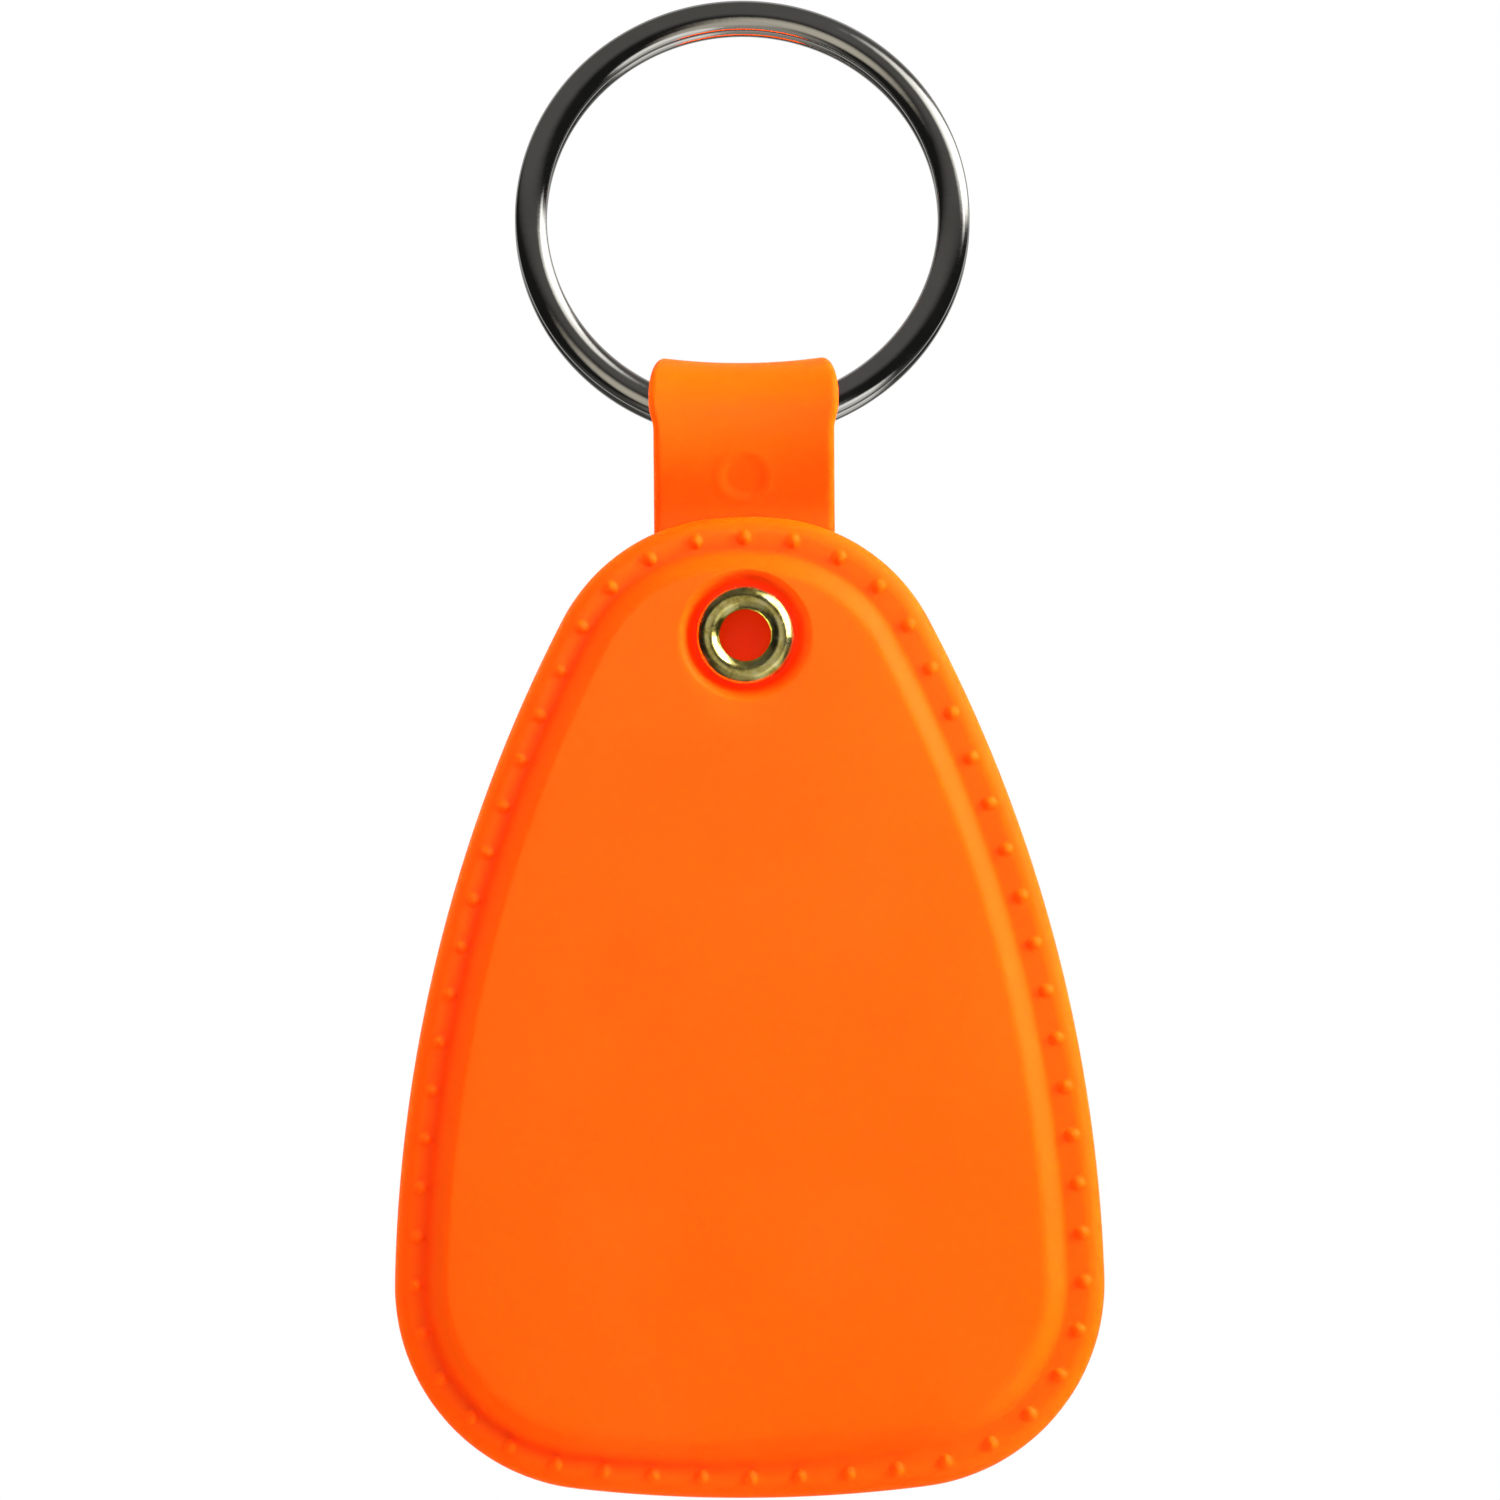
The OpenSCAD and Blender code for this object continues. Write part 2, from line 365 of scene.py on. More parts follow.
class Columns:
    """The columns of a panel's mesh: close together over each stitch bump and at the strap's slot.

    They run down the right side and back up the left one. near holds their distances from a bump's
    middle, and two stops nearer than closest become one.
    """

    def __init__(self):
        pitch = side_length(STITCH_AT) / STITCH_STEPS
        near = [0, 0.07, 0.14, 0.21, 0.28, 0.36, 0.5, 0.8]
        closest = 0.004
        stops = set()
        for k in range(STITCH_STEPS):
            for step in near:
                stops.add(round(k * pitch + step, 4))
                stops.add(round((k + 1) * pitch - step, 4))
            stops.add(round((k + 0.5) * pitch, 4))
        stops.update(self.slot_stops())
        stops = sorted(stops)
        stops = [s for i, s in enumerate(stops) if i == 0 or s - stops[i - 1] > closest]
        right = [(*locate(s, STITCH_AT), s, 1) for s in stops]
        left = [(i, turn, s, -1) for i, turn, s, _ in right[1:-1]]
        all_columns = right + left[::-1]
        self.count = len(all_columns)
        self.centre = np.array([ARCS[i][0] * (side, 1) for i, _, _, side in all_columns])
        self.radius = np.array([ARCS[i][1] for i, _, _, _ in all_columns])
        self.out = np.array([(side * math.sin(t), math.cos(t)) for _, t, _, side in all_columns])
        s = np.array([c[2] for c in all_columns])
        self.from_stitch = s - np.round(s / pitch) * pitch
        edge = self.at(0.0)
        beside = np.abs(edge[:, 0]) < POCKET_HALF + POCKET_STEP / 3
        self.slot = beside & (edge[:, 1] > LEG_END)

    def slot_stops(self):
        """Where the strap's two edges leave the panels."""
        found = []
        for x in (POCKET_HALF, POCKET_HALF + POCKET_STEP):
            low, high = 0.0, 12.0
            for _ in range(HALVINGS):
                mid = (low + high) / 2
                if edge_point(*locate(mid, STITCH_AT), 0.0)[0] < x:
                    low = mid
                else:
                    high = mid
            found.append(round(low, 4))
        return found

    def at(self, inset):
        """The columns' points in the fob's plane, set in from the edge."""
        return self.centre + (self.radius - inset)[:, None] * self.out


# ---------------------------------------------------------------- panels


def surface_height(inset, x, pillow_h):
    """Height of a panel's outer surface above the middle plane, inside the rim bead."""
    low = RIM_H - (RIM_H - GROOVE_H) * smooth(BEAD_W - GROOVE_START, GROOVE_AT, inset)
    along = inset - PILLOW_SHIFT * np.tanh(x / SHIFT_REACH)
    rise = smooth(WALL_FROM, WALL_TO, along)
    crown = CROWN * np.exp(-np.maximum(along - CAVITY_AT, 0) / CROWN_DECAY)
    return low + (pillow_h - crown - GROOVE_H) * rise


def stitch_height(columns, inset):
    """Extra height of the stitch bumps along one row."""
    along = columns.from_stitch / STITCH_HALF[0]
    across = (inset - STITCH_AT) / STITCH_HALF[1]
    return STITCH_RISE * np.clip(1 - along**2 - across**2, 0, 1) ** STITCH_ROUND


def rim_rows(columns):
    """Rows from the parting line up the edge and over the bead."""
    low = np.where(columns.slot, POCKET_H, 0.0)
    top = RIM_H - BEAD_DROP
    rows = []
    for a in quarter_turns(4):
        inset = SEAM_R * (1 - math.sin(a))
        height = SEAM_R * (1 - math.cos(a))
        rows.append((inset, low + height * (top - low) / top))
    for share in (0.3, 0.55, 0.8):
        rows.append((0.0, low + share * (top - low)))
    for a in quarter_turns(14):
        height = top + BEAD_DROP * math.sin(a)
        rows.append((BEAD_W * (1 - math.cos(a)), np.full(columns.count, height)))
    rows = [(inset, height + stitch_height(columns, inset)) for inset, height in rows]
    return [np.column_stack([columns.at(inset), height]) for inset, height in rows]


def border_rows(columns, pillow_h):
    """Rows over the groove, the stitch bumps and the pillow's wall."""
    rows = []
    for inset in np.concatenate([np.arange(*FINE_ROWS), np.arange(*COARSE_ROWS)]):
        flat = columns.at(inset)
        height = surface_height(inset, flat[:, 0], pillow_h) + stitch_height(columns, inset)
        rows.append(np.column_stack([flat, height]))
    return rows


def pillow_rows(columns, pillow_h, end_r):
    """Rows from the border straight to a circle round the eyelet's centre."""
    start = columns.at(BORDER_END)
    centre = np.array([0.0, EYELET_Y])
    reach = start - centre
    distance = np.linalg.norm(reach, axis=1)[:, None]
    end = centre + reach / distance * end_r
    rows = []
    for k in range(1, PILLOW_ROWS + 1):
        share = (k / PILLOW_ROWS) ** PILLOW_CLOSING
        flat = start + (end - start) * share
        height = surface_height(inset_of(flat[:, 0], flat[:, 1]), flat[:, 0], pillow_h)
        rows.append(np.column_stack([flat, height]))
    return rows, reach / distance


def circle_row(direction, radius, height):
    """A row round the eyelet's centre."""
    radius = np.broadcast_to(radius, (len(direction),))
    flat = np.array([0.0, EYELET_Y]) + direction * radius[:, None]
    return np.column_stack([flat, np.broadcast_to(height, (len(direction),))])


def recess_rows(direction, mouth):
    """Rows down the soft mouth of the recess, across its floor and down the hole."""
    top = mouth[:, 2]
    rows = []
    for k in range(1, RECESS_ROWS + 1):
        share = k / RECESS_ROWS
        radius = MOUTH_R + (FLOOR_R - MOUTH_R) * share
        height = top + (RECESS_FLOOR - top) * smooth(MOUTH_START, 1.0, share) ** MOUTH_POWER
        rows.append(circle_row(direction, radius, height))
    rows.append(circle_row(direction, FLAT_R, RECESS_FLOOR))
    rows.append(circle_row(direction, PANEL_HOLE_R + HOLE_CHAMFER, RECESS_FLOOR))
    rows.append(circle_row(direction, PANEL_HOLE_R, RECESS_FLOOR - HOLE_CHAMFER))
    rows.append(circle_row(direction, PANEL_HOLE_R, POCKET_H))
    return rows


def inside_rows(columns, direction, pillow_h):
    """Rows over the hidden inside, from the eyelet boss out to the rim's flat face."""
    ceiling = pillow_h - SKIN
    wall = columns.at(CAVITY_AT)
    reach = np.linalg.norm(wall - (0.0, EYELET_Y), axis=1)
    boss = np.minimum(BOSS_R, BOSS_SHARE * reach)
    low = np.where(columns.slot, POCKET_H, 0.0)
    return [
        circle_row(direction, boss, POCKET_H),
        circle_row(direction, boss, ceiling),
        np.column_stack([wall, np.full(columns.count, ceiling)]),
        np.column_stack([wall, low]),
    ]


def groove_painted_shade(points):
    """How much painted shade the groove beside the pillow puts on each point, most on the left."""
    inset = inset_of(points[:, 0], points[:, 1])
    side = 1 - PAINTED_SHADE_LEAN * np.tanh(points[:, 0] / PAINTED_SHADE_LEAN_REACH)
    return GROOVE_PAINTED_SHADE * side * np.exp(-(((inset - PAINTED_SHADE_AT) / PAINTED_SHADE_WIDTH) ** 2))


def recess_painted_shade(points):
    """How much painted shade the eyelet's recess puts on each point."""
    away = np.hypot(points[:, 0], points[:, 1] - EYELET_Y)
    return 1 - smooth(*RECESS_PAINTED_SHADE_R, away)


def front_panel(columns, vinyl):
    """One closed skin: edge, border, pillow, recess, hole and inside."""
    rows = rim_rows(columns) + border_rows(columns, FRONT_H)
    over, direction = pillow_rows(columns, FRONT_H, MOUTH_R)
    rows += over
    rows += recess_rows(direction, over[-1])
    rows += inside_rows(columns, direction, FRONT_H)
    faces = grid_faces(len(rows), columns.count, wrap_rows=True)
    points = np.concatenate(rows)
    # painted shade in the groove and in the recess round the eyelet, with a painted glow in the recess
    painted_shade_and_glow = np.maximum(groove_painted_shade(points), recess_painted_shade(points))
    own = ("fob", "panel_vinyl", ["front_panel"])
    return mesh_object("front_panel_vinyl", place(points), faces, vinyl, *own, painted_shade_and_glow)


def back_panel(columns, vinyl):
    """The same skin turned round, closed where the eyelet is, with a blind pocket for the clinch."""
    rows = rim_rows(columns) + border_rows(columns, BACK_H)
    over, direction = pillow_rows(columns, BACK_H, TIP_R)
    rows += over
    inner = inside_rows(columns, direction, BACK_H)
    start = circle_row(direction, TIP_R, CLINCH_POCKET_H)
    low_boss = circle_row(direction, CLINCH_POCKET_R, CLINCH_POCKET_H)
    lip = circle_row(direction, CLINCH_POCKET_R, POCKET_H)
    hidden = [start, low_boss, lip] + inner
    points = np.concatenate(rows + hidden)
    count = columns.count
    outer_faces = grid_faces(len(rows), count)
    inner_faces = [tuple(v + len(rows) * count for v in f) for f in grid_faces(len(hidden), count)]
    last = (len(rows) + len(hidden) - 1) * count
    join = [(last + k, last + (k + 1) % count, (k + 1) % count, k) for k in range(count)]
    tip_out = len(points)
    tip_in = tip_out + 1
    tips = np.array([[0, EYELET_Y, rows[-1][0, 2]], [0, EYELET_Y, start[0, 2]]])
    points = np.concatenate([points, tips])
    points[:, 2] *= -1
    faces = outer_faces + inner_faces + join
    faces += fan_faces((len(rows) - 1) * count, count, tip_out)
    faces += fan_faces(len(rows) * count, count, tip_in)
    # painted shade in the groove; the hidden inside, seen through the eyelet's hole, gets full painted
    # shade and a painted glow, the outer tip none
    painted_shade_and_glow = groove_painted_shade(points)
    painted_shade_and_glow[len(rows) * count :] = 1.0
    painted_shade_and_glow[tip_out] = 0.0
    own = ("fob", "panel_vinyl", ["back_panel"])
    return mesh_object("back_panel_vinyl", place(points), faces, vinyl, *own, painted_shade_and_glow)


# ---------------------------------------------------------------- strap


def flank_tilts(steps, step):
    """Tilts of the steps that bring the strap in from the loop to its leg, found by halving."""
    low, high = 0.0, 1.0
    for _ in range(HALVINGS):
        tilt = (low + high) / 2
        tilts = [tilt * math.sin(math.pi * (k + 0.5) / steps) ** 2 for k in range(steps)]
        if sum(math.sin(t) for t in tilts) * step < LOOP_R - LEG_AT:
            low = tilt
        else:
            high = tilt
    return tilts


def strap_path():
    """The strap's middle line and its outward normals, as (towards the viewer, up).

    It runs from the front leg's foot over the loop to the back leg's foot.
    """
    points, normals = [], []
    for a in quarter_turns(36)[::-1]:
        points.append((LOOP_R * math.cos(a), LOOP_R * math.sin(a)))
        normals.append((math.cos(a), math.sin(a)))
    steps = 60
    step = FLANK_LENGTH / steps
    for t in flank_tilts(steps, step):
        toward, up = points[-1]
        points.append((toward - step * math.sin(t), up - step * math.cos(t)))
        normals.append((math.cos(t), -math.sin(t)))
    foot = points[-1][1]
    leg_steps = 14
    for k in range(1, leg_steps + 1):
        points.append((LEG_AT, foot + (LEG_END - foot) * k / leg_steps))
        normals.append((1.0, 0.0))
    front_p, front_n = np.array(points), np.array(normals)
    back_p, back_n = front_p * (-1, 1), front_n * (-1, 1)
    return np.concatenate([front_p[::-1], back_p[1:]]), np.concatenate([front_n[::-1], back_n[1:]])


def strap_section(half_w):
    """A closed section of the strap: across, and outward from the middle line."""
    half_t = STRAP_T / 2
    outer_flat, inner_flat = half_w - OUTER_ROUND, half_w - INNER_ROUND
    outer_steps, inner_steps = 72, 24
    outside = [(outer_flat * (2 * k / outer_steps - 1), half_t) for k in range(outer_steps + 1)]
    right_side = []
    for a in quarter_turns(7, 1):
        out = half_t - OUTER_ROUND * (1 - math.cos(a))
        right_side.append((outer_flat + OUTER_ROUND * math.sin(a), out))
    for a in quarter_turns(4):
        out = -half_t + INNER_ROUND * (1 - math.sin(a))
        right_side.append((inner_flat + INNER_ROUND * math.cos(a), out))
    inside = [(inner_flat * (1 - 2 * k / inner_steps), -half_t) for k in range(1, inner_steps)]
    left_side = [(-u, v) for u, v in right_side[::-1]]
    return np.array(outside + right_side + inside + left_side)


def eyelet_ring(turn, radius, height):
    """A circle of points round the eyelet's centre, at one height."""
    y = EYELET_Y + radius * np.cos(turn)
    return np.column_stack([radius * np.sin(turn), y, np.full(len(turn), height)])


def drill(piece, radius, reach):
    """Cut a round hole through a piece along the eyelet's line.

    The offset keeps the cutter's corners off the piece's middle line, where they would leave slivers.
    """
    steps, offset = 96, 0.37
    turn = (np.arange(steps) + offset) * 2 * math.pi / steps
    ends = [eyelet_ring(turn, radius, -reach), eyelet_ring(turn, radius, reach)]
    faces = capped_faces(2, steps)
    cutter = linked("drill", closed_mesh("drill", place(np.concatenate(ends)), faces))
    cut = piece.modifiers.new("hole", "BOOLEAN")
    cut.operation = "DIFFERENCE"
    cut.solver = "EXACT"
    cut.object = cutter
    bpy.context.view_layer.update()
    cut_piece = piece.evaluated_get(bpy.context.evaluated_depsgraph_get())
    done = bpy.data.meshes.new_from_object(cut_piece)
    piece.modifiers.clear()
    piece.data = done
    bpy.data.objects.remove(cutter)


def strap_half_width(up):
    """Half the strap's width at a height: wider on the loop and rounded off at its top."""
    half_w = STRAP_W / 2 + LOOP_BULGE / 2 * smooth(*BULGE_Y, up)
    pinch = np.clip((up - PINCH_Y) / PINCH_REACH, 0, 1)
    return half_w - LOOP_PINCH * (1 - math.sqrt(1 - pinch**2))


def moulding_mark(across, up):
    """Extra height of the round mark: a shallow dent with a low lip."""
    away = np.hypot(across, (up - MARK_Y) * MARK_SQUASH)
    dent = MARK_DENT * (1 - smooth(MARK_R + MARK_SLOPE[0], MARK_R + MARK_SLOPE[1], away))
    lip = MARK_LIP * np.exp(-(((away - MARK_R - MARK_LIP_AT) / MARK_LIP_W) ** 2))
    return lip - dent


def hanger_strap(vinyl):
    """One strip, folded over the ring, with the rivet's hole cut through its two legs."""
    path, normals = strap_path()
    rows = []
    for (toward, up), (n_toward, n_up) in zip(path, normals, strict=True):
        section = strap_section(strap_half_width(up))
        across, out = section[:, 0], section[:, 1]
        outside = out > STRAP_T / 2 - 1e-6
        flare = FLARE_R - np.sqrt(FLARE_R**2 - across**2)
        out = out + flare * smooth(*FLARE_Y, up)
        if toward > 0:
            out = out + np.where(outside, moulding_mark(across, up), 0.0)
        rows.append(np.column_stack([across, up + n_up * out, toward + n_toward * out]))
    points = np.concatenate(rows)
    # painted shade on the strap's foot, darker towards the bottom where it goes in under the panels
    painted_shade_and_glow = FOOT_PAINTED_SHADE * (1 - smooth(*FOOT_PAINTED_SHADE_Y, points[:, 1]))
    faces = capped_faces(len(rows), len(rows[0]))
    own = ("fob", "strap_vinyl", ["hanger_strap"])
    piece = mesh_object("hanger_strap_vinyl", place(points), faces, vinyl, *own, painted_shade_and_glow)
    drill(piece, PANEL_HOLE_R, DRILL_REACH)
    return piece


# ---------------------------------------------------------------- core pad


def pad_row(columns, drawn_in, height):
    """The pad's outline with its notch for the strap's legs, drawn in a little, at one height."""
    edge = columns.at(PAD_INSET)
    beside = np.abs(edge[:, 0]) > NOTCH_HALF + ARM_W
    below = edge[:, 1] < NOTCH_Y
    kept = np.flatnonzero(beside | below)[::3]
    outside = columns.at(PAD_INSET + drawn_in)[kept]
    half = NOTCH_HALF + drawn_in
    foot = NOTCH_Y - drawn_in
    top = outside[0][1]
    notch = [(-half, top), (-half, foot), (half, foot), (half, top)]
    flat = np.concatenate([outside, notch])
    return np.column_stack([flat, np.full(len(flat), height)])


def core_pad(columns, foam):
    """The firm foam slab that fills the sealed cavity."""
    low, high = (np.array(c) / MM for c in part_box("core_pad"))
    bottom, top = PIVOT[1] - high[1], PIVOT[1] - low[1]
    rows = []
    for a in quarter_turns(8):
        height = bottom + PAD_ROUND * (1 - math.cos(a))
        rows.append(pad_row(columns, PAD_ROUND * (1 - math.sin(a)), height))
    for a in quarter_turns(8):
        height = top - PAD_ROUND * (1 - math.sin(a))
        rows.append(pad_row(columns, PAD_ROUND * (1 - math.cos(a)), height))
    faces = capped_faces(len(rows), len(rows[0]))
    points = place(np.concatenate(rows))
    piece = mesh_object("core_pad_foam", points, faces, foam, "fob", "pad_foam", ["core_pad"])


# ---------------------------------------------------------------- eyelet and ring


def arc(centre, half, first, last, steps):
    """Points of an elliptical arc, angles in degrees."""
    found = []
    for k in range(steps + 1):
        a = math.radians(first + (last - first) * k / steps)
        found.append((centre[0] + half[0] * math.cos(a), centre[1] + half[1] * math.sin(a)))
    return found


def eyelet_profile():
    """Radius and height of the eyelet's wall, once round: clinch, barrel, domed flange, bore."""
    mid = (FLANGE_R + HOLE_R) / 2
    half = (FLANGE_R - HOLE_R) / 2
    clinch_top = PIVOT[1] - EYELET_HIGH[1] + CLINCH_R
    inner_curl = arc((HOLE_R + CLINCH_R, clinch_top - 0.05), (CLINCH_R, CLINCH_R - 0.05), 180, 270, 6)
    outer_curl = arc((CLINCH_AT, clinch_top), (CLINCH_R, CLINCH_R), -90, 0, 6)
    barrel = [(BARREL_R, clinch_top), (BARREL_R, RECESS_FLOOR - 0.02)]
    flange_edge = [
        (FLANGE_R - 0.1, RECESS_FLOOR + 0.01),
        (FLANGE_R - 0.02, RECESS_FLOOR + 0.08),
        (FLANGE_R, RECESS_FLOOR + 0.2),
    ]
    crest = RECESS_FLOOR + FLANGE_RISE
    dome = [(mid + half * t, crest - DOME * abs(t) ** DOME_POWER) for t in np.linspace(1, -1, 27)]
    bore = [(HOLE_R, RECESS_FLOOR - BORE_DROP), (HOLE_R, 0.0)]
    return inner_curl + outer_curl + barrel + flange_edge + dome + bore


def eyelet(brass):
    """The eyelet's wall, turned round its centre."""
    steps = 144
    turn = np.arange(steps) * 2 * math.pi / steps
    rows = [eyelet_ring(turn, radius, height) for radius, height in eyelet_profile()]
    faces = grid_faces(len(rows), steps, wrap_rows=True)
    points = place(np.concatenate(rows))
    return mesh_object("eyelet_brass", points, faces, brass, "fob", "eyelet_brass", ["eyelet"])


def wire_level(angle):
    """Height of the wire's middle along the ring's axis, after a turn of angle from its back end."""
    full = 2 * math.pi
    return -TURN_AT + 2 * TURN_AT * smooth(full - CROSSOVER, full, angle)


def split_ring(steel):
    """Two turns of flattened wire with rounded ends, leaning back."""
    ring_r = (RING_HIGH[0] - RING_LOW[0]) / 2 - WIRE_HALF_W
    start = -QUARTER + CROSSOVER / 2
    total = 4 * math.pi - CROSSOVER
    steps, around = 500, 36
    turn = np.arange(around) * 2 * math.pi / around
    rows = []
    for k in range(steps + 1):
        along = total * k / steps
        angle = start + along
        from_end = min(k, steps - k)
        size = WIRE_TIP[from_end] if from_end < len(WIRE_TIP) else 1.0
        axial = WIRE_HALF_H * size * np.sin(turn) + wire_level(along)
        radius = ring_r + WIRE_HALF_W * size * np.cos(turn)
        rows.append(np.column_stack([radius * math.cos(angle), -axial, radius * math.sin(angle)]))
    lean = np.array(Matrix.Rotation(-RING_LEAN, 3, "X"))
    points = (np.concatenate(rows) @ lean.T + RING_CENTRE) * MM
    faces = capped_faces(len(rows), around)
    return mesh_object("split_ring_steel", points, faces, steel, "ring", "ring_steel", ["split_ring"])


# ---------------------------------------------------------------- materials


class Shader:
    """A short way to write a node material."""

    def __init__(self, name):
        self.material = bpy.data.materials.new(name)
        self.material.use_nodes = True
        self.tree = self.material.node_tree
        self.main = self.tree.nodes["Principled BSDF"]
        self.where = self.node("ShaderNodeTexCoord").outputs["Object"]

    def node(self, kind, **values):
        made = self.tree.nodes.new(kind)
        for key, value in values.items():
            setattr(made, key, value)
        return made

    def link(self, source, target):
        self.tree.links.new(source, target)

    def noise(self, scale, detail=3.0, roughness=0.55):
        """Noise over the surface, as a number from 0 to 1."""
        made = self.node("ShaderNodeTexNoise")
        made.inputs["Scale"].default_value = scale
        made.inputs["Detail"].default_value = detail
        made.inputs["Roughness"].default_value = roughness
        self.link(self.where, made.inputs["Vector"])
        return made.outputs["Fac"]

    def spread(self, source, low, high, from_low=0.3, from_high=0.7):
        """A number spread over a range."""
        made = self.node("ShaderNodeMapRange")
        made.inputs["From Min"].default_value = from_low
        made.inputs["From Max"].default_value = from_high
        made.inputs["To Min"].default_value = low
        made.inputs["To Max"].default_value = high
        self.link(source, made.inputs["Value"])
        return made.outputs["Result"]

    def ramp(self, source, stops):
        """A number turned into a colour, by stops of (place, colour)."""
        made = self.node("ShaderNodeValToRGB")
        ramp = made.color_ramp
        while len(ramp.elements) < len(stops):
            ramp.elements.new(0.5)
        for element, (at, colour) in zip(ramp.elements, stops, strict=True):
            element.position = at
            element.color = (*colour, 1)
        self.link(source, made.inputs["Fac"])
        return made.outputs["Color"]

    def bump(self, source, strength, distance, before=None):
        """A normal from a number, on top of the one before; distance in metres."""
        made = self.node("ShaderNodeBump")
        made.inputs["Strength"].default_value = strength
        made.inputs["Distance"].default_value = distance
        self.link(source, made.inputs["Height"])
        if before is not None:
            self.link(before, made.inputs["Normal"])
        return made.outputs["Normal"]

    def set(self, **values):
        """Constant values on the shader's own sockets."""
        for key, value in values.items():
            self.main.inputs[key.replace("_", " ")].default_value = value


def vinyl_material(name, deep, plain, pale):
    """Soft satin vinyl, painted redder and darker by a mesh attribute as painted shade, with a faint
    painted glow where that painted shade is deepest.
    """
    s = Shader(name)
    skin = s.ramp(s.noise(90.0, 2.0), [(0.3, deep), (0.5, plain), (0.72, pale)])
    # painted shade: the attribute mixes the colour towards a deep red
    painted_shade_mask = s.node("ShaderNodeAttribute", attribute_name=PAINTED_SHADE_AND_GLOW)
    mix = s.node("ShaderNodeMix", data_type="RGBA")
    s.link(s.spread(painted_shade_mask.outputs["Fac"], 0.0, 0.95, 0.0, 1.0), mix.inputs["Factor"])
    s.link(skin, mix.inputs["A"])
    mix.inputs["B"].default_value = PAINTED_SHADE_COLOUR
    s.link(mix.outputs["Result"], s.main.inputs["Base Color"])
    # painted glow: emission where the painted shade is deepest
    painted_glow = s.spread(painted_shade_mask.outputs["Fac"], 0.0, PAINTED_GLOW, PAINTED_GLOW_FROM, 1.0)
    s.link(painted_glow, s.main.inputs["Emission Strength"])
    s.main.inputs["Emission Color"].default_value = PAINTED_GLOW_COLOUR
    s.link(s.spread(s.noise(420.0, 3.0), 0.36, 0.46), s.main.inputs["Roughness"])
    grain = s.bump(s.noise(5200.0, 2.0), 0.25, 0.00002)
    soft = s.bump(s.noise(700.0, 2.0), 0.2, 0.00004, grain)
    s.link(soft, s.main.inputs["Normal"])
    s.set(Subsurface_Weight=0.6, Subsurface_Scale=0.001, Specular_IOR_Level=0.14)
    s.main.inputs["Subsurface Radius"].default_value = (1.3, 0.4, 0.1)
    return s.material


def metal_material(name, tarnish, colours, wear, dents):
    """Plated metal: what noise() takes for its tarnish, and first for its wear and its dents.

    The rest of wear is what spread() takes, and the rest of dents what bump() takes.
    """
    s = Shader(name)
    s.link(s.ramp(s.noise(*tarnish), colours), s.main.inputs["Base Color"])
    s.link(s.spread(s.noise(*wear[0]), *wear[1:]), s.main.inputs["Roughness"])
    s.link(s.bump(s.noise(*dents[0]), *dents[1:]), s.main.inputs["Normal"])
    s.set(Metallic=1.0)
    return s.material


def brass_material():
    """Polished brass plate with a faint patina."""
    colours = [(0.34, (0.5, 0.4, 0.08)), (0.5, (0.78, 0.69, 0.24)), (0.66, (0.9, 0.84, 0.42))]
    wear = ((1500.0, 4.0), 0.12, 0.3)
    dents = ((2600.0, 3.0), 0.35, 0.00003)
    return metal_material("eyelet_brass_plate", (1100.0, 5.0, 0.65), colours, wear, dents)


def steel_material():
    """Polished nickel plate with a faint tarnish."""
    colours = [(0.3, (0.7, 0.68, 0.64)), (0.55, (0.78, 0.77, 0.74)), (0.75, (0.82, 0.81, 0.79))]
    wear = ((800.0, 5.0), 0.06, 0.13)
    dents = ((1300.0, 4.0), 0.2, 0.00002)
    return metal_material("ring_nickel_plate", (260.0, 4.0), colours, wear, dents)


def foam_material():
    """Closed-cell foam."""
    s = Shader("pad_foam_cells")
    cells = s.node("ShaderNodeTexVoronoi")
    cells.inputs["Scale"].default_value = 2400.0
    s.link(s.where, cells.inputs["Vector"])
    colours = [(0.0, (0.55, 0.5, 0.42)), (0.6, (0.7, 0.66, 0.58))]
    s.link(s.ramp(cells.outputs["Distance"], colours), s.main.inputs["Base Color"])
    s.link(s.spread(s.noise(300.0), 0.8, 0.95), s.main.inputs["Roughness"])
    s.link(s.bump(cells.outputs["Distance"], 0.6, 0.0001), s.main.inputs["Normal"])
    return s.material


def carry_over(node, material):
    """A CAD node that stays, with a better material in its slots."""
    piece = frame["nodes"][node]
    for slot in piece.material_slots:
        slot.material = material
    if not piece.material_slots:
        piece.data.materials.append(material)


# ---------------------------------------------------------------- scene


def area_light(name, direction, distance, size, power, glossy=True):
    """A soft light, hidden from the camera, that looks at the middle of the part from a direction.

    Its distance and size are in metres and its power in watts.
    """
    low, high = cad_box
    target = (low + high) / 2
    data = bpy.data.lights.new(name, "AREA")
    data.shape = "RECTANGLE"
    data.size, data.size_y = size
    data.energy = power
    light = linked(name, data)
    towards = Vector(direction).normalized()
    light.location = target + towards * distance
    light.rotation_mode = "QUATERNION"
    light.rotation_quaternion = (-towards).to_track_quat("-Z", "Y")
    light.visible_camera = False
    light.visible_glossy = glossy
    return light


def light_only(light, name, pieces):
    """Link a light to some pieces, so that it lights nothing else."""
    only = bpy.data.collections.new(name)
    for piece in pieces:
        only.objects.link(piece)
    light.light_linking.receiver_collection = only


